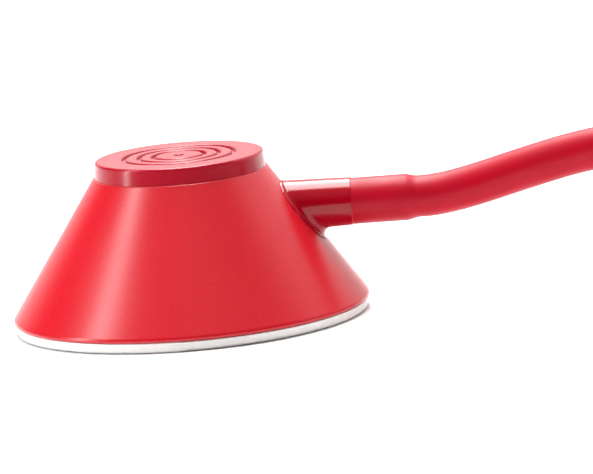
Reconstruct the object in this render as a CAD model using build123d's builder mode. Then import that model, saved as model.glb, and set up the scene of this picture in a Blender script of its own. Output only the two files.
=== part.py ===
import os
from math import cos, degrees, pi, radians, sin, tan

from build123d import *

os.makedirs("parts", exist_ok=True)

# A single-head stethoscope, in millimetres. The origin is the centre of the diaphragm's face, on the
# surface that the instrument lies on. +Z goes up through the chestpiece and +X along its stem.

# Shell: a hollow cone on a rounded rim, with a flat deck under the thumb cap
base_radius = 27.0
rim_height = 2.1
rim_rounding = 0.7
rim_edge = 0.15
shoulder_radius = 13.2
shoulder_height = 22.6
shoulder_rounding = 0.3
shell_wall = 2.2
deck_thickness = 2.0
ledge_height = 1.2
ledge_width = 0.6

# Diaphragm ring, which snaps into the shell's rim
ring_height = 1.5
ring_inset = 0.2
ring_edge = 0.4
ring_draft = 0.1
lip_thickness = 0.7
lip_width = 1.5
collar_wall = 0.8
collar_height = 2.0
snap_height = 0.6
snap_depth = 0.22
rim_wall = 3.2
joint_gap = 0.1
collar_clearance = 0.3

# What the ring holds
film_thickness = 0.4
film_step = 0.9
film_clearance = 0.4
film_lean = 0.15
gasket_thickness = 0.8
gasket_width = 1.7

# Chamber plate: a shallow acoustic cone with a riser that takes the sound to the stem
throat_radius = 1.75
chamber_depth = 3.0
chamber_lip = 0.4
riser_radius = 6.0
riser_clearance = 0.4
plate_clearance = 0.15
plate_lip = 0.5

# Thumb cap: a ringed disc that closes the shell's deck
cap_radius = 13.0
cap_draft = 0.25
cap_height = 2.5
cap_edge = 0.35
groove_depth = 0.35
groove_rounding = 0.3
cap_grooves = [(3.6, 4.2), (5.8, 6.35), (8.05, 8.65)]
dimple_radius = 0.65
spigot_outer = 8.9
spigot_wall = 1.5
spigot_length = 2.6
bead_depth = 0.2
bead_height = 0.4

# Stem
stem_drop = 6.5
stem_seam = 25.6
stem_root_radius = 4.05
stem_end_radius = 3.64
stem_edge = 0.15
foot_drop = 0.7
foot_thickness = 0.1
foot_rounding = 1.0
stem_plug_radius = 2.65
stem_plug_start = 2.4
plug_end_gap = 0.2
sound_bore = 1.3
o_ring_start = 3.8
o_ring_section = 0.86
o_ring_inner = 1.85

# Hose: 1/4 inch PVC tube, stretched where it is pushed over a barb
hose_radius = 3.175
hose_bore = 1.6
sleeve_swell = 0.35
sleeve_length = 7.85
sleeve_taper = 2.4
sleeve_rounding = 4.0
barb_length = 9.0
barb_root = 1.95
barb_ridge = 2.2
barb_tip = 1.75
barb_pitch = 2.8
barb_ramp = 1.4
barb_end_gap = 0.6
fit = 0.05

# Share of a straight run that an arc of the hose's route takes up, and the distance that counts as none
arc_share = 0.45
same_place = 0.001

# Coil of the put-away hose: two turns, one on the other, in a tie
coil_center = (104.0, 25.0)
coil_radius = 32.0
level_gap = 0.05
coil_rounding = 0.97
tie_thickness = 0.5
tie_width = 10.0
tie_corner = 2.6
landing_angles = [-66, -42, -18, 6, 28]
landing_end = 30

# Headset. Its left half is built, and the right half is its mirror image.
yoke_seam = 135.0
headset_y = -7.0
headset_height = 4.3
yoke_shank = 6.0
yoke_ball = 4.3
arm_radius = 3.5
arm_length = 11.0
arm_angle = 24.0
branch_length = 31.0
branch_end = 22.0
branch_bend = 45.0
tube_angle = 6.0
tube_radius = 2.4
tube_wall = 0.6
tube_in_hose = 10.0

# Ear tube beyond its straight foot: corners as (x, distance from the headset's middle, height)
ear_tube_corners = [(275.0, 44.5, 3.7), (319.0, 55.0, 3.0), (351.0, 46.5, 3.0), (361.0, 22.5, 5.8)]
ear_tube_foot = 40.0
ear_tube_bends = [60.0, 110.0, 45.0, 20.0]

# Leaf spring and the clips that hold it on the ear tubes
spring_thickness = 0.6
spring_width = 6.5
spring_gap = 1.8
clip_place = 22.0
clip_length = 8.0
clip_wall = 0.75
clip_plate = 0.8
spring_clearance = 0.1
spring_run = 2.0
rivet_radius = 0.9
rivet_head = 1.7
rivet_head_height = 0.7
rivet_dome = 0.45

# Ear tips and the adapters that carry them
adapter_plug = 6.0
adapter_flange = 1.2
adapter_flange_overhang = 0.5
flange_edge = 0.2
nipple_radius = 1.9
nipple_length = 5.3
nipple_bore = 1.0
tip_length = 11.2
tip_radius = 6.2
tip_base_radius = 4.3
tip_mouth = 2.6
tip_hole = 1.3
tip_shoulder = 5.5
tip_shoulder_place = 8.0
tip_belly_place = 4.5
tip_nose_slope = (1, -0.15)
tip_base_slope = (-0.55, -1)

stem_height = shoulder_height - stem_drop
riser_top = shoulder_height - spigot_length - riser_clearance
swollen_radius = hose_radius + sleeve_swell
spring_offset = tube_radius + spring_gap
cone_slope = (base_radius - shoulder_radius) / (shoulder_height - rim_height)
wall_across = shell_wall * (1 + cone_slope**2) ** 0.5
rim_face = ring_height + joint_gap
bore_radius = base_radius - rim_wall
collar_radius = bore_radius - joint_gap
ledge_bottom = ring_height + collar_height + collar_clearance
stem_axis = Plane(origin=(0, 0, stem_height), x_dir=(0, 1, 0), z_dir=(1, 0, 0))
hose_start = stem_seam + sleeve_length + sleeve_taper
yoke_hose_end = yoke_seam - sleeve_length - sleeve_taper


def cone_radius(height):
    # radius of the shell's outer cone at a height
    return shoulder_radius + (shoulder_height - height) * cone_slope


def write_piece(piece, name):
    piece.part.label = name
    export_step(piece.part, f"parts/{name}.step")


def turn(at, points, mode=Mode.ADD):
    # a closed outline of (radius, distance) points, turned about at's z axis
    side = Plane(origin=at.origin, x_dir=at.x_dir, z_dir=-at.y_dir)
    with BuildSketch(side) as outline:
        with BuildLine():
            Polyline(*points, close=True)
        make_face()
    revolve(outline.sketch, axis=Axis(at.origin, at.z_dir), mode=mode)


def rims(piece, at, radius, distance):
    # the circular edges of a turned piece at one radius and distance
    center = at.origin + at.z_dir * distance
    circles = piece.edges().filter_by(GeomType.CIRCLE)
    centered = circles.filter_by(lambda e: (e.arc_center - center).length < same_place)
    return centered.filter_by(lambda e: abs(e.radius - radius) < same_place)


def barb_outline():
    # a barb with two ridges, from its root at 0 to its tip
    first = barb_length - barb_ridge
    second = first - barb_pitch
    return [
        (0, 0),
        (barb_root, 0),
        (barb_root, second),
        (barb_ridge, second),
        (barb_root, second + barb_ridge - barb_root + barb_ramp),
        (barb_root, first),
        (barb_ridge, first),
        (barb_tip, barb_length),
        (0, barb_length),
    ]


def sleeve_outline():
    # the outside of a hose end on a barb, from its seam at 0
    return [
        (0, 0),
        (swollen_radius, 0),
        (swollen_radius, sleeve_length),
        (hose_radius, sleeve_length + sleeve_taper),
        (0, sleeve_length + sleeve_taper),
    ]


def sleeve_bore():
    # the room inside it for the barb
    return [
        (0, 0),
        (barb_ridge + fit, 0),
        (barb_ridge + fit, barb_length + fit),
        (hose_bore, barb_length + barb_end_gap),
        (0, barb_length + barb_end_gap),
    ]


def corner_radii(points):
    # for each corner of a route, an arc as large as its two straight runs allow
    runs = [Vector(*b) - Vector(*a) for a, b in zip(points, points[1:])]
    radii = []
    for before, after in zip(runs, runs[1:]):
        half_turn = radians(before.get_angle(after)) / 2
        radii.append(arc_share * min(before.length, after.length) / tan(half_turn))
    return radii


def check_tube(name, piece, section, length):
    print(f"{name}: volume {piece.part.volume:.1f}, section times length {section * length:.1f}")


# --- Chestpiece -------------------------------------------------------------------------------------

with BuildPart() as chestpiece_shell:
    deck_bottom = shoulder_height - deck_thickness
    ledge_top = ledge_bottom + ledge_height
    spigot_bore = spigot_outer + fit
    ledge_radius = cone_radius(ledge_top) - wall_across - ledge_width
    turn(
        Plane.XY,
        [
            (bore_radius, rim_face),
            (base_radius, rim_face),
            (base_radius, rim_height),
            (shoulder_radius, shoulder_height),
            (spigot_bore, shoulder_height),
            (spigot_bore, deck_bottom),
            (cone_radius(deck_bottom) - wall_across, deck_bottom),
            (cone_radius(ledge_top) - wall_across, ledge_top),
            (ledge_radius, ledge_top),
            (ledge_radius, ledge_bottom),
            (bore_radius, ledge_bottom),
        ],
    )
    fillet(rims(chestpiece_shell, Plane.XY, base_radius, rim_height), rim_rounding)
    fillet(rims(chestpiece_shell, Plane.XY, base_radius, rim_face), rim_edge)
    fillet(rims(chestpiece_shell, Plane.XY, shoulder_radius, shoulder_height), shoulder_rounding)
    # groove for the ring's snap bead
    snap_middle = ring_height + collar_height - snap_height
    with BuildSketch(Plane.XZ):
        with Locations((bore_radius, snap_middle)):
            Rectangle(2 * (snap_depth + fit), snap_height + 2 * joint_gap)
    revolve(axis=Axis.Z, mode=Mode.SUBTRACT)
    # hole for the stem's plug
    with BuildSketch(Plane.YZ.offset(riser_radius)):
        with Locations((0, stem_height)):
            Circle(stem_plug_radius + fit)
    extrude(amount=stem_seam, mode=Mode.SUBTRACT)

with BuildPart() as thumb_cap:
    cap_top = shoulder_height + cap_height
    spigot_bottom = shoulder_height - spigot_length
    cap_top_radius = cap_radius - cap_draft
    turn(
        Plane.XY,
        [(0, shoulder_height), (cap_radius, shoulder_height), (cap_top_radius, cap_top), (0, cap_top)],
    )
    fillet(rims(thumb_cap, Plane.XY, cap_top_radius, cap_top), cap_edge)
    for inner, outer in [(0, dimple_radius)] + cap_grooves:
        floor = cap_top - groove_depth
        turn(Plane.XY, [(inner, floor), (outer, floor), (outer, cap_top), (inner, cap_top)], Mode.SUBTRACT)
        for radius in (inner, outer):
            if radius > 0:
                fillet(rims(thumb_cap, Plane.XY, radius, cap_top), groove_rounding)
    turn(
        Plane.XY,
        [
            (spigot_outer - spigot_wall, shoulder_height),
            (spigot_outer, shoulder_height),
            (spigot_outer, spigot_bottom + bead_height),
            (spigot_outer + bead_depth, spigot_bottom + bead_height),
            (spigot_outer, spigot_bottom),
            (spigot_outer - spigot_wall, spigot_bottom),
        ],
    )

with BuildPart() as diaphragm_ring:
    ring_outer = base_radius - ring_inset
    collar_inner = collar_radius - collar_wall
    lip_inner = collar_inner - lip_width
    collar_top = ring_height + collar_height
    turn(
        Plane.XY,
        [
            (lip_inner, 0),
            (ring_outer - ring_draft, 0),
            (ring_outer, ring_height),
            (collar_radius, ring_height),
            (collar_radius, snap_middle - snap_height / 2),
            (collar_radius + snap_depth, snap_middle - snap_height / 2),
            (collar_radius + snap_depth, snap_middle),
            (collar_radius, collar_top),
            (collar_inner, collar_top),
            (collar_inner, lip_thickness),
            (lip_inner, lip_thickness),
        ],
    )
    fillet(rims(diaphragm_ring, Plane.XY, ring_outer - ring_draft, 0), ring_edge)
    fillet(rims(diaphragm_ring, Plane.XY, ring_outer, ring_height), rim_edge)

with BuildPart() as diaphragm:
    film_radius = collar_inner - joint_gap
    step_radius = lip_inner - film_clearance
    turn(
        Plane.XY,
        [
            (0, 0),
            (step_radius - film_step, 0),
            (step_radius, lip_thickness),
            (film_radius, lip_thickness),
            (film_radius, lip_thickness + film_thickness),
            (step_radius - film_lean, lip_thickness + film_thickness),
            (step_radius - film_step - film_lean, film_thickness),
            (0, film_thickness),
        ],
    )

with BuildPart() as diaphragm_gasket:
    gasket_bottom = lip_thickness + film_thickness
    gasket_top = gasket_bottom + gasket_thickness
    with BuildSketch(Plane.XY.offset(gasket_bottom)):
        Circle(film_radius)
        Circle(film_radius - gasket_width, mode=Mode.SUBTRACT)
    extrude(amount=gasket_thickness)

with BuildPart() as chamber_plate:
    plate_radius = film_radius + joint_gap - plate_clearance
    hollow_radius = film_radius - gasket_width
    throat_height = gasket_top + chamber_depth
    plate_slope = (chamber_depth - chamber_lip) / (hollow_radius - throat_radius)
    turn(
        Plane.XY,
        [
            (throat_radius, throat_height),
            (hollow_radius, gasket_top + chamber_lip),
            (hollow_radius, gasket_top),
            (plate_radius, gasket_top),
            (plate_radius, ledge_bottom),
            (hollow_radius - plate_lip, ledge_bottom),
            (riser_radius, ledge_bottom + (hollow_radius - riser_radius) * plate_slope),
            (riser_radius, riser_top),
            (0, riser_top),
            (0, stem_height + throat_radius),
            (throat_radius, stem_height + throat_radius),
        ],
    )
    # bore for the stem's plug, and the passage between it and the riser's bore
    turn(
        stem_axis,
        [
            (0, 0),
            (sound_bore, 0),
            (sound_bore, stem_plug_start - plug_end_gap),
            (stem_plug_radius + 2 * fit, stem_plug_start - plug_end_gap),
            (stem_plug_radius + 2 * fit, 2 * riser_radius),
            (0, 2 * riser_radius),
        ],
        Mode.SUBTRACT,
    )


def taper_radius(x):
    # radius of the stem's tapered side at a distance from the chestpiece's axis
    along = (x - stem_core) / (stem_seam - stem_core)
    return stem_root_radius + (stem_end_radius - stem_root_radius) * along


def on_taper(point):
    # true for a point on the stem's tapered side, clear of its two ends
    off_axis = (point.Y**2 + (point.Z - stem_height) ** 2) ** 0.5
    in_reach = shoulder_radius < point.X < stem_seam - foot_rounding
    return in_reach and abs(off_axis - taper_radius(point.X)) < same_place


with BuildPart() as stem:
    core_radius = cone_radius(stem_height)
    stem_core = core_radius / 2
    lift = foot_thickness * (1 + cone_slope**2) ** 0.5
    turn(
        Plane.XY,
        [(0, 0), (cone_radius(0) + lift, 0), (shoulder_radius + lift, shoulder_height), (0, shoulder_height)],
    )
    turn(
        stem_axis,
        [(0, stem_core), (stem_root_radius, stem_core), (stem_end_radius, stem_seam), (0, stem_seam)],
    )
    # round the corner where the stem's taper meets its foot
    fillet(stem.edges().filter_by(lambda e: on_taper(e @ 0.3) and on_taper(e @ 0.7)), foot_rounding)
    fillet(rims(stem, stem_axis, stem_end_radius, stem_seam), stem_edge)
    # the foot is a round patch on the shell's cone, which stands out below the stem and not above it
    foot_radius = taper_radius(cone_radius(stem_height + stem_root_radius)) + foot_drop
    with BuildSketch(Plane.YZ.offset(stem_core)):
        with Locations((0, stem_height - foot_drop)):
            Circle(foot_radius + fit)
    extrude(amount=stem_seam, mode=Mode.INTERSECT)
    turn(
        Plane.XY,
        [(0, 0), (cone_radius(0), 0), (shoulder_radius, shoulder_height), (0, shoulder_height)],
        Mode.SUBTRACT,
    )
    # plug that goes through the shell into the riser, with the groove for its O-ring
    o_ring_width = o_ring_section + 2 * fit
    plug_end = cone_radius(stem_height - stem_plug_radius) + foot_thickness
    turn(
        stem_axis,
        [
            (0, stem_plug_start),
            (stem_plug_radius, stem_plug_start),
            (stem_plug_radius, o_ring_start),
            (o_ring_inner, o_ring_start),
            (o_ring_inner, o_ring_start + o_ring_width),
            (stem_plug_radius, o_ring_start + o_ring_width),
            (stem_plug_radius, plug_end),
            (0, plug_end),
        ],
    )
    turn(Plane(origin=(stem_seam, 0, stem_height), x_dir=(0, 1, 0), z_dir=(1, 0, 0)), barb_outline())
    with BuildSketch(Plane.YZ):
        with Locations((0, stem_height)):
            Circle(sound_bore)
    extrude(amount=stem_seam + 2 * barb_length, mode=Mode.SUBTRACT)

with BuildPart() as stem_o_ring:
    o_ring_middle = o_ring_inner + fit / 2 + o_ring_section / 2
    with BuildSketch(Plane.XZ):
        with Locations((o_ring_start + o_ring_width / 2, stem_height + o_ring_middle)):
            Circle(o_ring_section / 2)
    revolve(axis=Axis((0, 0, stem_height), (1, 0, 0)))

# --- Hose -------------------------------------------------------------------------------------------

level_1 = tie_thickness + fit + hose_radius
level_2 = level_1 + 2 * hose_radius + level_gap
level_3 = level_2 + 2 * hose_radius + level_gap
coil_x, coil_y = coil_center
coil_foot_y = coil_y - coil_radius
hose_section = pi * (hose_radius**2 - hose_bore**2)
hose_route_points = [
    (hose_start, 0, stem_height),
    (40.5, 0, stem_height + 0.35),
    (45.2, 0, stem_height + 1.35),
    (51.5, 0, stem_height + 3.0),
    (60, -0.2, stem_height + 5.05),
    (70, -1.2, stem_height + 6.4),
    (80, -3, stem_height + 6.1),
    (91.5, -5.6, 19.2),
    (coil_x, coil_foot_y, level_3 + 0.1),
]
# on the coil the strand follows the turn under it, and sinks to that turn's level where that turn sinks too
for angle in landing_angles:
    sunk = (angle - landing_angles[0]) / (landing_end - landing_angles[0])
    hose_route_points.append(
        (
            coil_x + coil_radius * cos(radians(angle)),
            coil_y + coil_radius * sin(radians(angle)),
            level_3 - sunk * (level_3 - level_2),
        )
    )
hose_radii = corner_radii(hose_route_points)
print("hose lead radii:", [round(r, 1) for r in hose_radii])

with BuildPart() as hose_stem_end:
    seam_plane = Plane(origin=(stem_seam, 0, stem_height), x_dir=(0, 1, 0), z_dir=(1, 0, 0))
    turn(seam_plane, sleeve_outline())
    fillet(rims(hose_stem_end, seam_plane, swollen_radius, sleeve_length), sleeve_rounding)
    turn(seam_plane, sleeve_bore(), mode=Mode.SUBTRACT)
    with BuildSketch(seam_plane):
        Circle(hose_bore)
    extrude(amount=sleeve_length + sleeve_taper, mode=Mode.SUBTRACT)

with BuildPart() as hose_lead:
    with BuildLine() as lead_path:
        FilletPolyline(*hose_route_points, radius=hose_radii)
    with BuildSketch(Plane(origin=lead_path.line @ 0, z_dir=lead_path.line % 0)):
        Circle(hose_radius)
        Circle(hose_bore, mode=Mode.SUBTRACT)
    sweep()
lead_length = lead_path.wire().length
check_tube("hose_lead", hose_lead, hose_section, lead_length)

with BuildPart() as hose_coil:
    coil_bottom = level_1 - hose_radius
    coil_top = level_2 + hose_radius
    coil_side = Plane(origin=(coil_x, coil_y, 0), x_dir=(0, 1, 0), z_dir=(1, 0, 0))
    coil_axis = Axis((coil_x, coil_y, 0), (0, 0, 1))
    with BuildSketch(coil_side):
        with Locations((coil_radius, (coil_bottom + coil_top) / 2)):
            RectangleRounded(2 * hose_radius, coil_top - coil_bottom, coil_rounding * hose_radius)
    revolve(axis=coil_axis)

with BuildPart() as coil_tie:
    # a band of the tie's width on the far side of the coil from the lead
    tie_arc = tie_width / coil_radius
    tie_side = Plane(
        origin=coil_side.origin,
        x_dir=(sin(tie_arc / 2), cos(tie_arc / 2), 0),
        z_dir=(cos(tie_arc / 2), -sin(tie_arc / 2), 0),
    )
    with BuildSketch(tie_side):
        with Locations((coil_radius, (coil_bottom + coil_top) / 2)):
            RectangleRounded(
                2 * (hose_radius + fit + tie_thickness),
                coil_top - coil_bottom + 2 * (fit + tie_thickness),
                tie_corner + tie_thickness,
            )
            RectangleRounded(
                2 * (hose_radius + fit), coil_top - coil_bottom + 2 * fit, tie_corner, mode=Mode.SUBTRACT
            )
    revolve(axis=coil_axis, revolution_arc=degrees(tie_arc))

with BuildPart() as hose_tail:
    with BuildLine() as tail_path:
        Line((coil_x, coil_foot_y, level_1), (yoke_hose_end, headset_y, headset_height))
    with BuildSketch(Plane(origin=tail_path.line @ 0, z_dir=tail_path.line % 0)):
        Circle(hose_radius)
        Circle(hose_bore, mode=Mode.SUBTRACT)
    sweep()
tail_length = tail_path.wire().length
check_tube("hose_tail", hose_tail, hose_section, tail_length)

yoke_plane = Plane(origin=(yoke_seam, headset_y, headset_height), x_dir=(0, 1, 0), z_dir=(-1, 0, 0))
with BuildPart() as hose_yoke_end:
    turn(yoke_plane, sleeve_outline())
    fillet(rims(hose_yoke_end, yoke_plane, swollen_radius, sleeve_length), sleeve_rounding)
    turn(yoke_plane, sleeve_bore(), mode=Mode.SUBTRACT)
    with BuildSketch(yoke_plane):
        Circle(hose_bore)
    extrude(amount=sleeve_length + sleeve_taper, mode=Mode.SUBTRACT)

turns_length = radians(2 * 360 - 90 - landing_angles[-1]) * coil_radius
whole_hose = lead_length + tail_length + turns_length + 2 * (sleeve_length + sleeve_taper)
print(f"hose from stem to yoke {whole_hose:.0f}, of which {turns_length:.0f} in the coil")

# --- Headset ----------------------------------------------------------------------------------------

headset_mirror = Plane(origin=(0, headset_y, 0), x_dir=(1, 0, 0), z_dir=(0, -1, 0))
hub = Vector(yoke_seam + yoke_shank, headset_y, headset_height)


def heading(angle):
    return Vector(cos(radians(angle)), sin(radians(angle)), 0)


arm_seam = hub + heading(arm_angle) * arm_length
branch_corner = arm_seam + heading(arm_angle) * branch_length
hose_mouth = branch_corner + heading(tube_angle) * branch_end
tube_start = hose_mouth - heading(tube_angle) * tube_in_hose
clip_center = tube_start + heading(tube_angle) * clip_place
inward = heading(tube_angle - 90)
spring_line = clip_center + inward * spring_offset

with BuildPart() as y_connector:
    turn(yoke_plane, [(0, -yoke_shank), (stem_end_radius, -yoke_shank), (stem_end_radius, 0), (0, 0)])
    fillet(rims(y_connector, yoke_plane, stem_end_radius, 0), stem_edge)
    turn(yoke_plane, barb_outline())
    with Locations(hub):
        Sphere(yoke_ball)
    for angle in (arm_angle, -arm_angle):
        arm_root = Plane(origin=hub, x_dir=(0, 0, 1), z_dir=heading(angle))
        turn(arm_root, [(0, 0), (arm_radius, 0), (arm_radius, arm_length), (0, arm_length)])
        fillet(rims(y_connector, arm_root, arm_radius, arm_length), stem_edge)
        turn(arm_root.offset(arm_length), barb_outline())
    with BuildSketch(yoke_plane.offset(-yoke_shank)):
        Circle(sound_bore)
    extrude(amount=yoke_shank + 2 * barb_length, mode=Mode.SUBTRACT)
    for angle in (arm_angle, -arm_angle):
        with BuildSketch(Plane(origin=hub, x_dir=(0, 0, 1), z_dir=heading(angle))):
            Circle(sound_bore)
        extrude(amount=arm_length + 2 * barb_length, mode=Mode.SUBTRACT)

tube_swollen_radius = (tube_radius**2 + hose_radius**2 - hose_bore**2) ** 0.5
with BuildPart() as left_branch_hose:
    with BuildLine() as branch_path:
        FilletPolyline(tuple(arm_seam), tuple(branch_corner), tuple(hose_mouth), radius=[branch_bend])
    with BuildSketch(Plane(origin=arm_seam, z_dir=heading(arm_angle))):
        Circle(hose_radius)
    sweep()
    at_arm = Plane(origin=arm_seam, x_dir=(0, 0, 1), z_dir=heading(arm_angle))
    at_mouth = Plane(origin=hose_mouth, x_dir=(0, 0, 1), z_dir=-heading(tube_angle))
    turn(at_arm, sleeve_outline())
    fillet(rims(left_branch_hose, at_arm, swollen_radius, sleeve_length), sleeve_rounding)
    turn(
        at_mouth,
        [
            (0, 0),
            (tube_swollen_radius, 0),
            (tube_swollen_radius, tube_in_hose),
            (hose_radius, tube_in_hose + sleeve_taper),
            (0, tube_in_hose + sleeve_taper),
        ],
    )
    with BuildLine() as bore_path:
        FilletPolyline(tuple(arm_seam), tuple(branch_corner), tuple(hose_mouth), radius=[branch_bend])
    with BuildSketch(Plane(origin=arm_seam, z_dir=heading(arm_angle))):
        Circle(hose_bore)
    sweep(mode=Mode.SUBTRACT)
    turn(at_arm, sleeve_bore(), mode=Mode.SUBTRACT)
    turn(
        at_mouth,
        [(0, 0), (tube_radius + fit, 0), (tube_radius + fit, tube_in_hose + fit), (0, tube_in_hose + fit)],
        mode=Mode.SUBTRACT,
    )

with BuildPart() as left_ear_tube:
    foot_end = tube_start + heading(tube_angle) * ear_tube_foot
    corners = [tuple(tube_start), tuple(foot_end)]
    corners += [(x, headset_y + v, z) for x, v, z in ear_tube_corners]
    with BuildLine() as ear_tube_path:
        FilletPolyline(*corners, radius=ear_tube_bends)
    with BuildSketch(Plane(origin=tube_start, z_dir=heading(tube_angle))):
        Circle(tube_radius)
        Circle(tube_radius - tube_wall, mode=Mode.SUBTRACT)
    sweep()
    tube_section = pi * (tube_radius**2 - (tube_radius - tube_wall) ** 2)
check_tube("left_ear_tube", left_ear_tube, tube_section, ear_tube_path.wire().length)

with BuildPart() as leaf_spring:
    leg_start = spring_line + heading(tube_angle) * (clip_length / 2)
    bow_start = spring_line - heading(tube_angle) * (clip_length / 2 + spring_run)
    bow_radius = (bow_start.Y - headset_y) / cos(radians(tube_angle))
    with BuildSketch(Plane.XY.offset(headset_height)):
        with BuildLine():
            Line((leg_start.X, leg_start.Y), (bow_start.X, bow_start.Y))
            JernArc(
                (bow_start.X, bow_start.Y), tuple(-heading(tube_angle))[:2], bow_radius, 90 - tube_angle
            )
        trace(line_width=spring_thickness)
    extrude(amount=spring_width / 2, both=True)
    with BuildSketch(Plane(origin=clip_center, x_dir=(0, 0, 1), z_dir=inward)):
        Circle(rivet_radius + spring_clearance)
    extrude(amount=2 * spring_offset, mode=Mode.SUBTRACT)
    mirror(about=headset_mirror)

with BuildPart() as left_spring_clip:
    plate_start = spring_offset - spring_thickness / 2 - spring_clearance - clip_plate
    clip_plane = Plane(origin=clip_center, x_dir=inward, z_dir=heading(tube_angle))
    with BuildSketch(clip_plane):
        Circle(tube_radius + fit + clip_wall)
        with Locations((plate_start + clip_plate / 2, 0)):
            Rectangle(clip_plate, spring_width)
        Circle(tube_radius + fit, mode=Mode.SUBTRACT)
    extrude(amount=clip_length / 2, both=True)
    with BuildSketch(Plane(origin=clip_center + inward * plate_start, x_dir=(0, 0, 1), z_dir=inward)):
        Circle(rivet_radius + fit)
    extrude(amount=2 * clip_plate, mode=Mode.SUBTRACT)

with BuildPart() as left_clip_rivet:
    head_start = spring_offset + spring_thickness / 2 + spring_clearance
    turn(
        Plane(origin=clip_center, x_dir=(0, 0, 1), z_dir=inward),
        [
            (0, plate_start + fit),
            (rivet_radius, plate_start + fit),
            (rivet_radius, head_start),
            (rivet_head, head_start),
            (rivet_head, head_start + rivet_head_height),
            (0, head_start + rivet_head_height),
        ],
    )
    rivet_axis = Plane(origin=clip_center, x_dir=(0, 0, 1), z_dir=inward)
    fillet(rims(left_clip_rivet, rivet_axis, rivet_head, head_start + rivet_head_height), rivet_dome)

tube_end = Plane(origin=ear_tube_path.line @ 1, z_dir=ear_tube_path.line % 1)

with BuildPart() as left_tip_adapter:
    plug_radius = tube_radius - tube_wall - fit
    adapter_flange_radius = tube_radius + adapter_flange_overhang
    turn(
        tube_end,
        [
            (nipple_bore, -adapter_plug),
            (plug_radius, -adapter_plug),
            (plug_radius, 0),
            (adapter_flange_radius, 0),
            (adapter_flange_radius, adapter_flange),
            (nipple_radius, adapter_flange),
            (nipple_radius, adapter_flange + nipple_length),
            (nipple_bore, adapter_flange + nipple_length),
        ],
    )
    for distance in (0, adapter_flange):
        fillet(rims(left_tip_adapter, tube_end, adapter_flange_radius, distance), flange_edge)

with BuildPart() as left_ear_tip:
    tip_start = adapter_flange + 2 * fit
    tip_end = tip_start + tip_length
    tip_side = Plane(origin=tube_end.origin, x_dir=tube_end.x_dir, z_dir=-tube_end.y_dir)
    with BuildSketch(tip_side) as tip_outline:
        with BuildLine():
            Polyline(
                (tip_base_radius, tip_start),
                (tip_hole, tip_start),
                (tip_hole, tip_end),
                (tip_mouth, tip_end),
            )
            Spline(
                (tip_mouth, tip_end),
                (tip_shoulder, tip_start + tip_shoulder_place),
                (tip_radius, tip_start + tip_belly_place),
                (tip_base_radius, tip_start),
                tangents=(tip_nose_slope, tip_base_slope),
            )
        make_face()
    revolve(tip_outline.sketch, axis=Axis(tube_end.origin, tube_end.z_dir))
    turn(
        tube_end,
        [
            (0, 0),
            (nipple_radius + fit, 0),
            (nipple_radius + fit, adapter_flange + nipple_length + 4 * fit),
            (0, adapter_flange + nipple_length + 4 * fit),
        ],
        mode=Mode.SUBTRACT,
    )

# --- Files ------------------------------------------------------------------------------------------

single_pieces = {
    "chestpiece_shell": chestpiece_shell,
    "thumb_cap": thumb_cap,
    "diaphragm_ring": diaphragm_ring,
    "diaphragm": diaphragm,
    "diaphragm_gasket": diaphragm_gasket,
    "chamber_plate": chamber_plate,
    "stem": stem,
    "stem_o_ring": stem_o_ring,
    "hose_stem_end": hose_stem_end,
    "hose_lead": hose_lead,
    "hose_coil": hose_coil,
    "coil_tie": coil_tie,
    "hose_tail": hose_tail,
    "hose_yoke_end": hose_yoke_end,
    "y_connector": y_connector,
    "leaf_spring": leaf_spring,
}
for name, piece in single_pieces.items():
    write_piece(piece, name)

left_pieces = {
    "branch_hose": left_branch_hose,
    "ear_tube": left_ear_tube,
    "spring_clip": left_spring_clip,
    "clip_rivet": left_clip_rivet,
    "tip_adapter": left_tip_adapter,
    "ear_tip": left_ear_tip,
}
for name, piece in left_pieces.items():
    write_piece(piece, f"left_{name}")
    with BuildPart() as right_piece:
        mirror(piece.part, about=headset_mirror)
    write_piece(right_piece, f"right_{name}")

hinge = Vector(spring_line.X - bow_radius, headset_y + bow_radius / 2, headset_height)
print("ear tube hinge:", [round(v, 3) for v in hinge])
print("ear tube end:", [round(v, 3) for v in tube_end.origin], "axis:", [round(v, 5) for v in tube_end.z_dir])
print("leaf spring bow radius:", round(bow_radius, 2))
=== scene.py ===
import math

import bmesh
import bpy
from mathutils import Matrix, Vector


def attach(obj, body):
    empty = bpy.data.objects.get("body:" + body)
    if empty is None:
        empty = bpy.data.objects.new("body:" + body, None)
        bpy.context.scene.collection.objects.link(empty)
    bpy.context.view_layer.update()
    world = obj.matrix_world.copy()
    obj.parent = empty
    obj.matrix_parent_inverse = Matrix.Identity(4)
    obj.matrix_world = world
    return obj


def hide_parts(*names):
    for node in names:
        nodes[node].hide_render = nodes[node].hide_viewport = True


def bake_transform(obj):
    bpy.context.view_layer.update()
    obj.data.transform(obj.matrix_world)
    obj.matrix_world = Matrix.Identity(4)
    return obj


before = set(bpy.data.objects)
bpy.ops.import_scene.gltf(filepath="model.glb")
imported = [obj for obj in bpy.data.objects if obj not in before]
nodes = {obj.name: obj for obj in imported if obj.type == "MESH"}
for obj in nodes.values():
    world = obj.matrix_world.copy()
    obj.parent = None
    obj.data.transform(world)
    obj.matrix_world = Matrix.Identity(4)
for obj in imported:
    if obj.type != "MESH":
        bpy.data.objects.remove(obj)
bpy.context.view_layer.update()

mm = 0.001
root = "chestpiece_and_hose"
bpy.ops.object.select_all(action="DESELECT")

# Camera: a long lens, a little above the cap and tilted so that the stem side sits higher
view = {
    "azimuth": 3.5,
    "elevation": 9.8,
    "roll": 4.8,
    "distance": 0.864,  # metres
    "lens": 345.8,
    "aimAcross": 15.713,  # millimetres from the diaphragm's centre to the point that the camera looks at
    "aimUp": 12.23,
}


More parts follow.
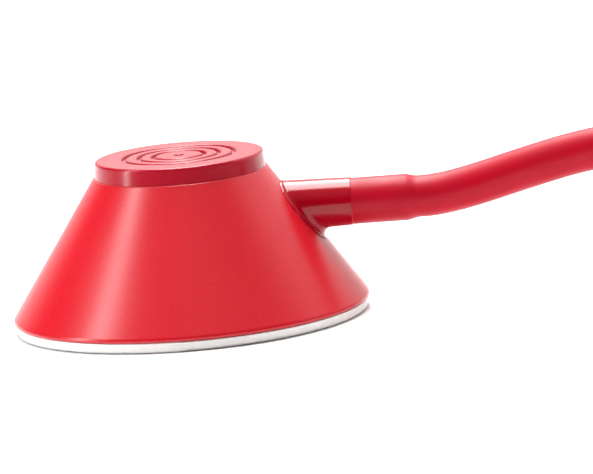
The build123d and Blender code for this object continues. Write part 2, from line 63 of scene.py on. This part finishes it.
def makeCamera():
    a, e, roll = (math.radians(view[k]) for k in ("azimuth", "elevation", "roll"))
    toward = Vector((-math.sin(a) * math.cos(e), math.cos(a) * math.cos(e), -math.sin(e)))
    levelRight = Vector((math.cos(a), math.sin(a), 0))
    levelUp = levelRight.cross(toward)
    right = levelRight * math.cos(roll) - levelUp * math.sin(roll)
    up = levelUp * math.cos(roll) + levelRight * math.sin(roll)
    aim = (right * view["aimAcross"] + up * view["aimUp"]) * mm
    data = bpy.data.cameras.new("camera")
    data.lens = view["lens"]
    data.clip_start = 0.01
    data.clip_end = 100
    camera = bpy.data.objects.new("camera", data)
    bpy.context.collection.objects.link(camera)
    turn = Matrix((right, up, -toward)).transposed()
    camera.matrix_world = Matrix.Translation(aim - toward * view["distance"]) @ turn.to_4x4()
    bpy.context.scene.camera = camera


makeCamera()
print("camera placed")

# Hose: one soft tube from the stem to the yoke, stretched over a barb at each end
hose = {
    "diameter": 6.35,
    "sleeve": 1.11,  # how much wider the ends are where they are stretched over the barbs
    "seam": (25.6, 0, 16.1),
    "stemSleeve": [  # place along the stem's axis, and how much wider the hose is there
        (27.6, 1.11),
        (29.6, 1.11),
        (31.6, 1.11),
        (33.0, 1.11),
        (33.9, 1.11),
        (34.5, 1.06),
        (35.3, 1.0),
        (36.1, 0.99),
        (37.4, 1.0),
    ],
    "lead": [
        (40.5, 0, 16.45),
        (45.2, 0, 17.45),
        (51.5, 0, 19.1),
        (60, -0.2, 21.15),
        (70, -1.2, 22.5),
        (80, -3, 22.2),
        (91.5, -5.6, 19.2),
    ],
    "coilCenter": (104, 25),
    "coilRadius": 32,
    "levels": (3.725, 10.125, 16.525),
    "sinkFrom": -66,  # degrees round the coil
    "sinkTo": 30,
    "pointsPerTurn": 15,
    "tail": (114, -7, 3.9),
    "yokeSleeve": [
        (124.4, 1.0),
        (125.9, 0.995),
        (126.7, 1.015),
        (127.5, 1.085),
        (128.1, 1.11),
        (129.6, 1.11),
        (132.6, 1.11),
    ],
    "yokeSeam": (135, -7, 4.3),
    "length": 0.512,
}


def coilPoints():
    # two turns, one on the other, each sinking to the level below on the same stretch
    low, middle, high = hose["levels"]
    centerX, centerY = hose["coilCenter"]
    # the points stand a little outside the turn, because the curve cuts their corners
    reach = hose["coilRadius"] / math.cos(math.pi / hose["pointsPerTurn"])
    points = []
    for i in range(2 * hose["pointsPerTurn"] + 1):
        angle = -90 + i * 360 / hose["pointsPerTurn"]
        upper = angle < 270
        place = angle if upper else angle - 360
        sunk = min(max((place - hose["sinkFrom"]) / (hose["sinkTo"] - hose["sinkFrom"]), 0), 1)
        top, bottom = (high, middle) if upper else (middle, low)
        x = centerX + reach * math.cos(math.radians(angle))
        y = centerY + reach * math.sin(math.radians(angle))
        points.append((x, y, top - sunk * (top - bottom)))
    return points


def curveTube(name, points, radii, radius, steps=12):
    # a smooth round tube along points, which are its spline's control points
    data = bpy.data.curves.new(name + "_line", "CURVE")
    data.dimensions = "3D"
    data.bevel_depth = 1.0  # the points' radii are real sizes, which also set the tube's box
    data.bevel_resolution = 12
    data.resolution_u = steps
    data.use_fill_caps = True
    spline = data.splines.new("NURBS")
    spline.points.add(len(points) - 1)
    for place, wide, point in zip(points, radii, spline.points):
        point.co = (*(c * mm for c in place), 1)
        point.radius = wide * radius * mm
    spline.order_u = 3
    spline.use_endpoint_u = True
    tube = bpy.data.objects.new(name, data)
    bpy.context.collection.objects.link(tube)
    return tube


def makeHose(strap):
    _, stemY, stemZ = hose["seam"]
    _, yokeY, yokeZ = hose["yokeSeam"]
    route = [(hose["seam"], hose["sleeve"])]
    route += [((x, stemY, stemZ), wide) for x, wide in hose["stemSleeve"]]
    route += [(place, 1.0) for place in hose["lead"] + coilPoints() + [hose["tail"]]]
    route += [((x, yokeY, yokeZ), wide) for x, wide in hose["yokeSleeve"]]
    route += [(hose["yokeSeam"], hose["sleeve"])]
    tube = curveTube("hose", [p for p, _ in route], [w for _, w in route], hose["diameter"] / 2)
    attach(tube, root)
    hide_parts("hose_stem_end", "hose_lead", "hose_coil", "hose_tail", "hose_yoke_end")
    return tube


# Materials
def linearColor(text):
    # an sRGB hex value as linear colour
    parts = [int(text[i:i + 2], 16) / 255 for i in (1, 3, 5)]
    return [c / 12.92 if c <= 0.04045 else ((c + 0.055) / 1.055) ** 2.4 for c in parts] + [1]


def addNode(tree, kind, settings=None, links=None):
    # one node, with its properties or socket values set and its inputs linked, by name or by number
    node = tree.nodes.new(kind)
    for key, value in (settings or {}).items():
        if key in node.inputs:
            node.inputs[key].default_value = value
        else:
            setattr(node, key, value)
    for key, source in (links or {}).items():
        tree.links.new(source, node.inputs[key])
    return node


def newMaterial(name, settings):
    # a material whose shader has the given uniform values
    material = bpy.data.materials.new(name)
    material.use_nodes = True
    shader = material.node_tree.nodes["Principled BSDF"]
    for key, value in settings.items():
        shader.inputs[key].default_value = value
    return material, material.node_tree, shader


def grainHeight(tree, size, detail=2.0, stretch=(1, 1, 1)):
    # noise in object space, with grains of a size in millimetres
    place = addNode(tree, "ShaderNodeTexCoord").outputs["Object"]
    mapped = addNode(tree, "ShaderNodeMapping", {"Scale": stretch}, {"Vector": place}).outputs["Vector"]
    settings = {"Scale": 1 / (size * mm), "Detail": detail}
    return addNode(tree, "ShaderNodeTexNoise", settings, {"Vector": mapped}).outputs["Fac"]


patternEnds = {  # most of a pattern's values lie between these two
    "interpolation_type": "SMOOTHSTEP",
    "From Min": 0.25,
    "From Max": 0.75,
}


def coverSurface(tree, shader, colors=None, roughness=None, relief=None):
    # what patterns vary over a surface: colors and roughness are each a pattern and the two values
    # at its ends, and relief is a pattern, a strength and a depth in millimetres
    if colors:
        pattern, first, second = colors
        settings = {**patternEnds, "To Min": 0, "To Max": 1}
        share = addNode(tree, "ShaderNodeMapRange", settings, {"Value": pattern}).outputs["Result"]
        mix = addNode(tree, "ShaderNodeMix", {"data_type": "RGBA"}, {"Factor": share})
        mix.inputs["A"].default_value = linearColor(first)
        mix.inputs["B"].default_value = linearColor(second)
        tree.links.new(mix.outputs["Result"], shader.inputs["Base Color"])
    if roughness:
        pattern, low, high = roughness
        settings = {**patternEnds, "To Min": low, "To Max": high}
        gloss = addNode(tree, "ShaderNodeMapRange", settings, {"Value": pattern}).outputs["Result"]
        tree.links.new(gloss, shader.inputs["Roughness"])
    if relief:
        pattern, strength, depth = relief
        settings = {"Strength": strength, "Distance": depth * mm}
        bump = addNode(tree, "ShaderNodeBump", settings, {"Height": pattern})
        tree.links.new(bump.outputs["Normal"], shader.inputs["Normal"])


# Sizes in millimetres. A relief is a strength and a depth.
plastics = {
    "ior": 1.53,
    "shellColors": ("#C80D20", "#BC0A1C"),  # strong red ABS, as moulded
    "shellGloss": 0.5,
    "shellRoughness": (0.285, 0.315),
    "shellCloud": 9.0,
    "mouldGrain": 0.35,  # the real grain is finer, and this is as coarse as it needs to show
    "mouldRelief": (0.3, 0.012),
    "capColor": "#A4001F",
    "capRoughness": (0.2, 0.26),
    "stemColor": "#A2001A",
    "stemRoughness": (0.13, 0.18),
    "polishGloss": 0.32,
    "polishWave": 2.5,
    "polishRelief": (0.2, 0.02),
    "polishHaze": 0.6,
    "ringColors": ("#ECEBE9", "#E6E5E2"),
    "ringRoughness": (0.3, 0.38),
    "ringDepth": (0.0006, 0.0005, 0.0004),  # metres, how far light goes into it
    "ringHaze": 1.5,
    "toolLine": 0.25,
    "toolStretch": (0.02, 0.02, 1),
    "toolRelief": (0.25, 0.01),
    "filmColors": ("#E9E6DC", "#DFDBCE"),
    "filmIor": 1.55,
    "filmRoughness": 0.22,
    "filmPitch": 0.8,  # from thread to thread
    "filmRelief": (0.15, 0.01),
}


def satinAbs():
    # moulded ABS with a spark-eroded mould finish: satin, with a fine even grain and a wide soft highlight
    settings = {"IOR": plastics["ior"], "Specular IOR Level": plastics["shellGloss"]}
    material, tree, shader = newMaterial("satin_moulded_abs", settings)
    grain = grainHeight(tree, plastics["mouldGrain"])
    cloudy = grainHeight(tree, plastics["shellCloud"], detail=1.0)
    coverSurface(
        tree,
        shader,
        colors=(grain, *plastics["shellColors"]),
        roughness=(cloudy, *plastics["shellRoughness"]),
        relief=(grain, *plastics["mouldRelief"]),
    )
    return material


def glossAbs(name, color, roughness):
    # ABS from a polished mould: glossy, with a faint long wave that bends its reflections
    settings = {"IOR": plastics["ior"], "Specular IOR Level": plastics["polishGloss"]}
    material, tree, shader = newMaterial(name, {**settings, "Base Color": linearColor(color)})
    wave = grainHeight(tree, plastics["polishWave"], detail=1.0)
    haze = grainHeight(tree, plastics["polishHaze"], detail=4.0)
    coverSurface(tree, shader, roughness=(haze, *roughness), relief=(wave, *plastics["polishRelief"]))
    return material


def nylonRing():
    # turned white nylon: a soft gloss, with fine tool lines round it
    settings = {"IOR": plastics["ior"], "Subsurface Radius": plastics["ringDepth"]}
    material, tree, shader = newMaterial("white_nylon", settings)
    haze = grainHeight(tree, plastics["ringHaze"], detail=3.0)
    lines = grainHeight(tree, plastics["toolLine"], detail=1.0, stretch=plastics["toolStretch"])
    coverSurface(
        tree,
        shader,
        colors=(haze, *plastics["ringColors"]),
        roughness=(haze, *plastics["ringRoughness"]),
        relief=(lines, *plastics["toolRelief"]),
    )
    return material


def glassCloth():
    # glass cloth in clear epoxy: milky and smooth, with the square weave showing through
    settings = {"IOR": plastics["filmIor"], "Roughness": plastics["filmRoughness"]}
    material, tree, shader = newMaterial("glass_cloth_laminate", settings)
    place = addNode(tree, "ShaderNodeTexCoord").outputs["Object"]
    scale = 1 / (plastics["filmPitch"] * mm * math.pi)
    threads = []
    for direction in ("X", "Y"):
        settings = {"bands_direction": direction, "Scale": scale}
        threads.append(addNode(tree, "ShaderNodeTexWave", settings, {"Vector": place}).outputs["Fac"])
    crossed = {0: threads[0], 1: threads[1]}
    weave = addNode(tree, "ShaderNodeMath", {"operation": "MULTIPLY"}, crossed).outputs["Value"]
    coverSurface(
        tree,
        shader,
        colors=(weave, *plastics["filmColors"]),
        relief=(weave, *plastics["filmRelief"]),
    )
    return material


rubbers = {
    "hoseColors": ("#B60322", "#AE011E"),  # soft PVC tube, extruded
    "hoseIor": 1.53,
    "hoseGloss": 0.18,
    "hoseRoughness": (0.38, 0.46),
    "hoseCloud": 4.0,
    "hoseGrain": 0.3,
    "hoseRelief": (0.3, 0.012),
    "rubberIor": 1.45,
    "bloom": 1.2,
    "bloomSpread": 0.05,
    "bloomRelief": (0.2, 0.015),
    "tipColor": "#CFCCC5",
    "tipRoughness": 0.42,
    "sealColor": "#1A1A1A",
    "sealRoughness": 0.5,
    "innerColor": "#CFCDC6",
    "innerRoughness": 0.4,
}


def softPvc():
    # extruded soft PVC: matt and a little cloudy, with a fine grain
    settings = {"IOR": rubbers["hoseIor"], "Specular IOR Level": rubbers["hoseGloss"]}
    material, tree, shader = newMaterial("extruded_soft_pvc", settings)
    cloudy = grainHeight(tree, rubbers["hoseCloud"], detail=4.0)
    grain = grainHeight(tree, rubbers["hoseGrain"])
    coverSurface(
        tree,
        shader,
        colors=(cloudy, *rubbers["hoseColors"]),
        roughness=(cloudy, *rubbers["hoseRoughness"]),
        relief=(grain, *rubbers["hoseRelief"]),
    )
    return material


def softRubber(name, color, roughness):
    # moulded rubber or silicone: matt and even, with a faint bloom
    settings = {"IOR": rubbers["rubberIor"], "Base Color": linearColor(color)}
    material, tree, shader = newMaterial(name, settings)
    bloom = grainHeight(tree, rubbers["bloom"], detail=3.0)
    low, high = roughness - rubbers["bloomSpread"], roughness + rubbers["bloomSpread"]
    coverSurface(tree, shader, roughness=(bloom, low, high), relief=(bloom, *rubbers["bloomRelief"]))
    return material


metals = {
    "chromeColor": "#C2C5C6",
    "chromeRoughness": (0.06, 0.17),
    "chromeRelief": (0.1, 0.01),
    "handling": 3.0,
    "springColor": "#B9BCC0",
    "springStretch": (0.05, 0.05, 1),
    "rivetColor": "#A9ACB0",
    "rivetStretch": (1, 1, 1),
    "brushedRoughness": (0.22, 0.38),
    "brushedRelief": (0.25, 0.006),
    "brushLine": 0.2,
}


def chromePlate():
    # bright chrome plate: a clear reflection, dulled in patches by handling
    settings = {"Metallic": 1.0, "Base Color": linearColor(metals["chromeColor"])}
    material, tree, shader = newMaterial("chrome_plate", settings)
    smear = grainHeight(tree, metals["handling"], detail=5.0)
    coverSurface(
        tree,
        shader,
        roughness=(smear, *metals["chromeRoughness"]),
        relief=(smear, *metals["chromeRelief"]),
    )
    return material


def brushedSteel(name, color, stretch):
    # rolled steel, brushed along the strip: fine lines that spread its highlight
    material, tree, shader = newMaterial(name, {"Metallic": 1.0, "Base Color": linearColor(color)})
    lines = grainHeight(tree, metals["brushLine"], detail=3.0, stretch=stretch)
    coverSurface(
        tree,
        shader,
        roughness=(lines, *metals["brushedRoughness"]),
        relief=(lines, *metals["brushedRelief"]),
    )
    return material


tape = {
    "colors": ("#C9C6BE", "#B3B0A7"),
    "roughness": 0.8,
    "sheen": 0.25,
    "thread": 0.5,
    "warpStretch": (1, 1, 0.15),
    "weftStretch": (0.15, 0.15, 1),
    "relief": (0.8, 0.15),
}


def wovenTape():
    # woven nylon tape: crossed threads, matt
    settings = {"Roughness": tape["roughness"], "Sheen Weight": tape["sheen"]}
    material, tree, shader = newMaterial("woven_nylon_tape", settings)
    warp = grainHeight(tree, tape["thread"], detail=1.0, stretch=tape["warpStretch"])
    weft = grainHeight(tree, tape["thread"], detail=1.0, stretch=tape["weftStretch"])
    weave = addNode(tree, "ShaderNodeMath", {"operation": "MULTIPLY"}, {0: warp, 1: weft}).outputs["Value"]
    coverSurface(tree, shader, colors=(warp, *tape["colors"]), relief=(weave, *tape["relief"]))
    return material


finishes = {
    "shell": satinAbs(),
    "cap": glossAbs("gloss_red_abs", plastics["capColor"], plastics["capRoughness"]),
    "stem": glossAbs("deep_gloss_red_abs", plastics["stemColor"], plastics["stemRoughness"]),
    "ring": nylonRing(),
    "film": glassCloth(),
    "inner": softRubber("plain_white_abs", rubbers["innerColor"], rubbers["innerRoughness"]),
    "hose": softPvc(),
    "seal": softRubber("black_nitrile", rubbers["sealColor"], rubbers["sealRoughness"]),
    "tip": softRubber("white_silicone", rubbers["tipColor"], rubbers["tipRoughness"]),
    "chrome": chromePlate(),
    "spring": brushedSteel("brushed_spring_steel", metals["springColor"], metals["springStretch"]),
    "rivet": brushedSteel("turned_steel", metals["rivetColor"], metals["rivetStretch"]),
    "tape": wovenTape(),
}
nodeFinish = {
    "chestpiece_shell": "shell",
    "thumb_cap": "cap",
    "diaphragm_ring": "ring",
    "diaphragm": "film",
    "diaphragm_gasket": "seal",
    "chamber_plate": "inner",
    "stem": "stem",
    "stem_o_ring": "seal",
    "coil_tie": "tape",
    "y_connector": "stem",
    "leaf_spring": "spring",
    "branch_hose": "hose",
    "ear_tube": "chrome",
    "spring_clip": "chrome",
    "clip_rivet": "rivet",
    "tip_adapter": "chrome",
    "ear_tip": "tip",
}


def dress(piece, finish):
    # one material all over a piece
    if not piece.material_slots:
        piece.data.materials.append(finishes[finish])
    for slot in piece.material_slots:
        slot.material = finishes[finish]


for name, node in nodes.items():
    plain = name.replace("left_", "").replace("right_", "")
    if plain in nodeFinish:
        dress(node, nodeFinish[plain])
print("finishes made")


# How the pieces modelled below are finished: lengths in millimetres, angles in degrees
meshing = {
    "tubeWeld": 0.01,
    "weld": 0.005,
    "smoothAngle": 40,
    "springAngle": 35,
    "drillLength": 4,
    "drillSides": 40,
}


def closeMesh(piece, weld, angle):
    # from edit mode back to object mode, with doubles welded, faces outward and smooth shading
    bpy.ops.mesh.select_all(action="SELECT")
    bpy.ops.mesh.remove_doubles(threshold=weld * mm)
    bpy.ops.mesh.normals_make_consistent(inside=False)
    bpy.ops.object.mode_set(mode="OBJECT")
    bpy.ops.object.shade_smooth_by_angle(angle=math.radians(angle))
    piece.select_set(False)


def makeMesh(tube):
    # a curve tube turned to a mesh, with its closed ends welded on
    bpy.ops.object.select_all(action="DESELECT")
    tube.select_set(True)
    bpy.context.view_layer.objects.active = tube
    bpy.ops.object.convert(target="MESH")
    bpy.ops.object.mode_set(mode="EDIT")
    closeMesh(tube, meshing["tubeWeld"], meshing["smoothAngle"])


# Headset: the left half's places, in millimetres; the right half mirrors them across its middle line
headset = {
    "middle": -7.0,
    "height": 4.3,
    "armSeam": (151.05, -2.53),
    "armHeading": 24.0,
    "corner": (179.37, 10.08),
    "mouth": (201.25, 12.38),
    "tubeHeading": 6.0,
    "hoseRadius": 3.175,
    "armSwell": [  # distance from the seam, and how much wider the hose is there
        (0, 1.11),
        (2, 1.11),
        (4.6, 1.11),
        (6.3, 1.11),
        (7.2, 1.1),
        (8.2, 1.03),
        (9.4, 1.0),
        (11, 1.0),
        (17, 1.0),
    ],
    "mouthSwell": [
        (13.2, 1.0),
        (11.7, 1.01),
        (10.4, 1.06),
        (9.3, 1.13),
        (8.2, 1.148),
        (5.5, 1.148),
        (2.5, 1.148),
        (0, 1.148),
    ],
    "bendStart": 12.0,  # distances from the seam and the mouth between which the hose bends
    "bendEnd": 14.0,
}


def alongHeading(start, angle, distance):
    turn = math.radians(angle)
    return start[0] + distance * math.cos(turn), start[1] + distance * math.sin(turn)


def onSide(spot, sign):
    # a place of the left half, in millimetres, on its own side or mirrored to the right
    x, y = spot
    return x, headset["middle"] + sign * (y - headset["middle"]), headset["height"]


def fromArm(distance):
    return alongHeading(headset["armSeam"], headset["armHeading"], distance)


def fromMouth(distance):
    return alongHeading(headset["mouth"], headset["tubeHeading"] + 180, distance)


def makeBranchHose(side, sign):
    # one arm of the headset's hose, from its barb on the yoke to the ear tube that is pushed into it
    route = [(fromArm(distance), wide) for distance, wide in headset["armSwell"]]
    route += [(headset["corner"], 1.0)]
    route += [(fromMouth(distance), wide) for distance, wide in headset["mouthSwell"]]
    places = [onSide(spot, sign) for spot, _ in route]
    tube = curveTube(side + "_branch", places, [wide for _, wide in route], headset["hoseRadius"])
    makeMesh(tube)
    dress(tube, "hose")
    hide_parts(side + "_branch_hose")
    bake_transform(tube)


for side, sign in (("left", 1), ("right", -1)):
    makeBranchHose(side, sign)
print("branch hoses laid")

# Leaf spring: two halves that meet at the bottom of the bow
spring = {
    "legStart": (217.6, 9.88),
    "legLength": 10.0,
    "holeAlong": 4.0,
    "holeRadius": 1.0,
    "bowRadius": 15.92,
    "bowCenter": (209.32, -7.0),
    "thickness": 0.6,
    "width": 6.5,
    "edge": 0.2,
    "edgeSteps": 3,
    "steps": 32,
}


def startSection(name, place, across, sectionSize, corner, cornerSteps):
    # a flat section with rounded corners, left in edit mode: thickness goes along across, and width upwards
    bpy.ops.object.select_all(action="DESELECT")
    bpy.ops.mesh.primitive_plane_add(size=1)
    piece = bpy.context.object
    piece.name = name
    across = Vector((*across, 0)).normalized()
    up = Vector((0, 0, 1))
    turn = Matrix((across, up, across.cross(up))).transposed().to_4x4()
    thickness, width = sectionSize
    size = Matrix.Diagonal((thickness * mm, width * mm, 1, 1))
    piece.matrix_world = Matrix.Translation([c * mm for c in place]) @ turn @ size
    bpy.ops.object.transform_apply(location=True, rotation=True, scale=True)
    bpy.ops.object.mode_set(mode="EDIT")
    bpy.ops.mesh.select_all(action="SELECT")
    bpy.ops.mesh.bevel(affect="VERTICES", offset=corner * mm, segments=cornerSteps)
    bpy.ops.mesh.select_all(action="SELECT")
    return piece


def cutHole(piece, place, direction, radius):
    # a round hole right through a piece
    turn = direction.to_track_quat("Z", "Y").to_euler()
    size = {"radius": radius * mm, "depth": meshing["drillLength"] * mm, "vertices": meshing["drillSides"]}
    bpy.ops.mesh.primitive_cylinder_add(**size, location=place, rotation=turn)
    drill = bpy.context.object
    cut = piece.modifiers.new("hole", "BOOLEAN")
    cut.operation = "DIFFERENCE"
    cut.solver = "EXACT"
    cut.object = drill
    bpy.ops.object.select_all(action="DESELECT")
    piece.select_set(True)
    bpy.context.view_layer.objects.active = piece
    bpy.ops.object.modifier_apply(modifier="hole")
    piece.select_set(False)
    bpy.data.objects.remove(drill, do_unlink=True)


def makeSpringHalf(side, sign):
    # half of the leaf spring: a straight leg in its clip, then a quarter of the bow
    angle = headset["tubeHeading"]
    heading = Vector((math.cos(math.radians(angle)), sign * math.sin(math.radians(angle)), 0))
    place = onSide(spring["legStart"], sign)
    across = (heading.y, -heading.x)
    name = side + "_spring_half"
    size = (spring["thickness"], spring["width"])
    piece = startSection(name, place, across, size, spring["edge"], spring["edgeSteps"])
    run = -heading * spring["legLength"] * mm
    bpy.ops.mesh.extrude_region_move(TRANSFORM_OT_translate={"value": run})
    center = [c * mm for c in (*spring["bowCenter"], headset["height"])]
    sweep = math.radians(90 - angle)
    bpy.ops.mesh.spin(steps=spring["steps"], angle=-sign * sweep, center=center, axis=(0, 0, 1))
    closeMesh(piece, meshing["weld"], meshing["springAngle"])
    rivet = Vector(place) * mm - heading * spring["holeAlong"] * mm
    cutHole(piece, rivet, Vector((*across, 0)), spring["holeRadius"])
    dress(piece, "spring")
    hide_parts("leaf_spring")
    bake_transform(piece)


for side, sign in (("left", 1), ("right", -1)):
    makeSpringHalf(side, sign)
print("spring bent")

# Coil tie: a woven strap round both turns, with its end lapped over itself
tie = {
    "angle": 90.0,
    "width": 10.0,
    "gap": 0.05,
    "thickness": 0.5,
    "corner": 2.6,
    "cornerSteps": 7,
    "height": 12.85,
    "middleHeight": 6.925,
    "lapGap": 0.12,
    "lapReach": 0.4,  # how far inside the coil's middle line the lap starts
    "lapLow": 4.3,
    "edge": 0.12,
    "edgeSteps": 2,
    "steps": 8,
}


def lapStrap(piece, center, reach):
    # the strap's end: a copy of its top and outer side, further out, sloping down into it on the inner side
    bpy.ops.mesh.select_all(action="DESELECT")
    shape = bmesh.from_edit_mesh(piece.data)
    for face in shape.faces:
        spot = face.calc_center_median()
        outside = math.hypot(spot.x - center[0], spot.y - center[1]) > reach
        face.select_set(outside and spot.z > tie["lapLow"] * mm)
    bmesh.update_edit_mesh(piece.data)
    bpy.ops.mesh.duplicate()
    bpy.ops.transform.shrink_fatten(value=(tie["thickness"] + tie["lapGap"]) * mm)
    shape = bmesh.from_edit_mesh(piece.data)
    for spot in shape.verts:
        inward = math.hypot(spot.co.x - center[0], spot.co.y - center[1]) < reach
        if spot.select and inward:
            spot.co.z -= tie["thickness"] * mm
    bmesh.update_edit_mesh(piece.data)


def makeTie():
    radius = hose["coilRadius"]
    sweep = tie["width"] / radius
    first = math.radians(tie["angle"]) - sweep / 2
    out = (math.cos(first), math.sin(first))
    x, y = hose["coilCenter"]
    center = (x * mm, y * mm, 0)
    place = (x + radius * out[0], y + radius * out[1], tie["middleHeight"])
    size = (hose["diameter"] + 2 * tie["gap"], tie["height"])
    piece = startSection("coil_strap", place, out, size, tie["corner"], tie["cornerSteps"])
    bpy.ops.mesh.delete(type="ONLY_FACE")
    bpy.ops.mesh.select_all(action="SELECT")
    bpy.ops.mesh.spin(steps=tie["steps"], angle=-sweep, center=center, axis=(0, 0, 1))
    bpy.ops.mesh.select_all(action="SELECT")
    bpy.ops.mesh.remove_doubles(threshold=meshing["weld"] * mm)
    bpy.ops.mesh.normals_make_consistent(inside=False)
    lapStrap(piece, center, (radius - tie["lapReach"]) * mm)
    bpy.ops.object.mode_set(mode="OBJECT")
    wall = piece.modifiers.new("wall", "SOLIDIFY")
    wall.thickness = tie["thickness"] * mm
    wall.offset = 1
    edge = piece.modifiers.new("edge", "BEVEL")
    edge.width = tie["edge"] * mm
    edge.segments = tie["edgeSteps"]
    edge.limit_method = "ANGLE"
    for modifier in (wall.name, edge.name):
        bpy.ops.object.modifier_apply(modifier=modifier)
    bpy.ops.object.shade_smooth_by_angle(angle=math.radians(meshing["smoothAngle"]))
    piece.select_set(False)
    dress(piece, "tape")
    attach(piece, root)
    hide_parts("coil_tie")
    return piece


hoseTube = makeHose(makeTie())
dress(hoseTube, "hose")
print("strap and hose laid")


# Studio: a white table and backdrop, a box light overhead, a tall light at the left, and a dim front
studio = {
    "floorSize": 60.0,  # metres, as are the lights' places and sizes
    "floorHeight": -0.0001,
    "tableColor": "#F2F2F2",
    "front": 0.02,
    "backdrop": 1.1,
    "backdropEdges": (0.1, 0.6),
    "backdropTurn": 25.0,  # degrees; the backdrop stands more to the right than to the left
    "sky": 0.4,
    "skyEdges": (0.3, 0.9),
    "overhead": {"place": (0.0, 0.45, 1.0), "aim": (0.02, 0.3, 0), "size": (0.4, 1.2), "power": 24},
    "tallLeft": {"place": (-0.4, -0.13, 0.3), "aim": (0, -0.02, 0.2), "size": (0.06, 0.6), "power": 2.0},
}


def areaLight(name, facts):
    data = bpy.data.lights.new(name, "AREA")
    data.shape = "RECTANGLE"
    data.size, data.size_y = facts["size"]
    data.energy = facts["power"]
    lamp = bpy.data.objects.new(name, data)
    bpy.context.collection.objects.link(lamp)
    lamp.location = facts["place"]
    lamp.rotation_mode = "QUATERNION"
    lamp.rotation_quaternion = (Vector(facts["aim"]) - Vector(facts["place"])).to_track_quat("-Z", "Y")


def makeStudio():
    bpy.ops.mesh.primitive_plane_add(size=studio["floorSize"], location=(0, 0, studio["floorHeight"]))
    table = bpy.context.object
    table.name = "table_top"
    finish = {"Roughness": 0.9, "Specular IOR Level": 0.1, "Base Color": linearColor(studio["tableColor"])}
    material, _, _ = newMaterial("matt_white_table", finish)
    table.data.materials.append(material)
    table.select_set(False)
    world = bpy.data.worlds.new("studio")
    world.use_nodes = True
    tree = world.node_tree
    direction = addNode(tree, "ShaderNodeTexCoord").outputs["Generated"]
    turn = {"Rotation": (0, 0, math.radians(studio["backdropTurn"]))}
    turned = addNode(tree, "ShaderNodeMapping", turn, {"Vector": direction}).outputs["Vector"]
    parts = addNode(tree, "ShaderNodeSeparateXYZ", links={"Vector": turned})
    level = None
    for axis, part in (("Y", "backdrop"), ("Z", "sky")):
        low, high = studio[part + "Edges"]
        settings = {
            "interpolation_type": "SMOOTHSTEP",
            "From Min": low,
            "From Max": high,
            "To Max": studio[part],
        }
        ramp = addNode(tree, "ShaderNodeMapRange", settings, {"Value": parts.outputs[axis]})
        total = addNode(tree, "ShaderNodeMath", {"operation": "ADD"}, {0: ramp.outputs["Result"]})
        total.inputs[1].default_value = studio["front"]
        if level:
            tree.links.new(level, total.inputs[1])
        level = total.outputs["Value"]
    tree.links.new(level, tree.nodes["Background"].inputs["Strength"])
    tree.nodes["Background"].inputs["Color"].default_value = (1, 1, 1, 1)
    bpy.context.scene.world = world
    bpy.context.scene.view_settings.view_transform = "Standard"
    areaLight("overhead_box", studio["overhead"])
    areaLight("tall_left_box", studio["tallLeft"])


makeStudio()
print("studio made")
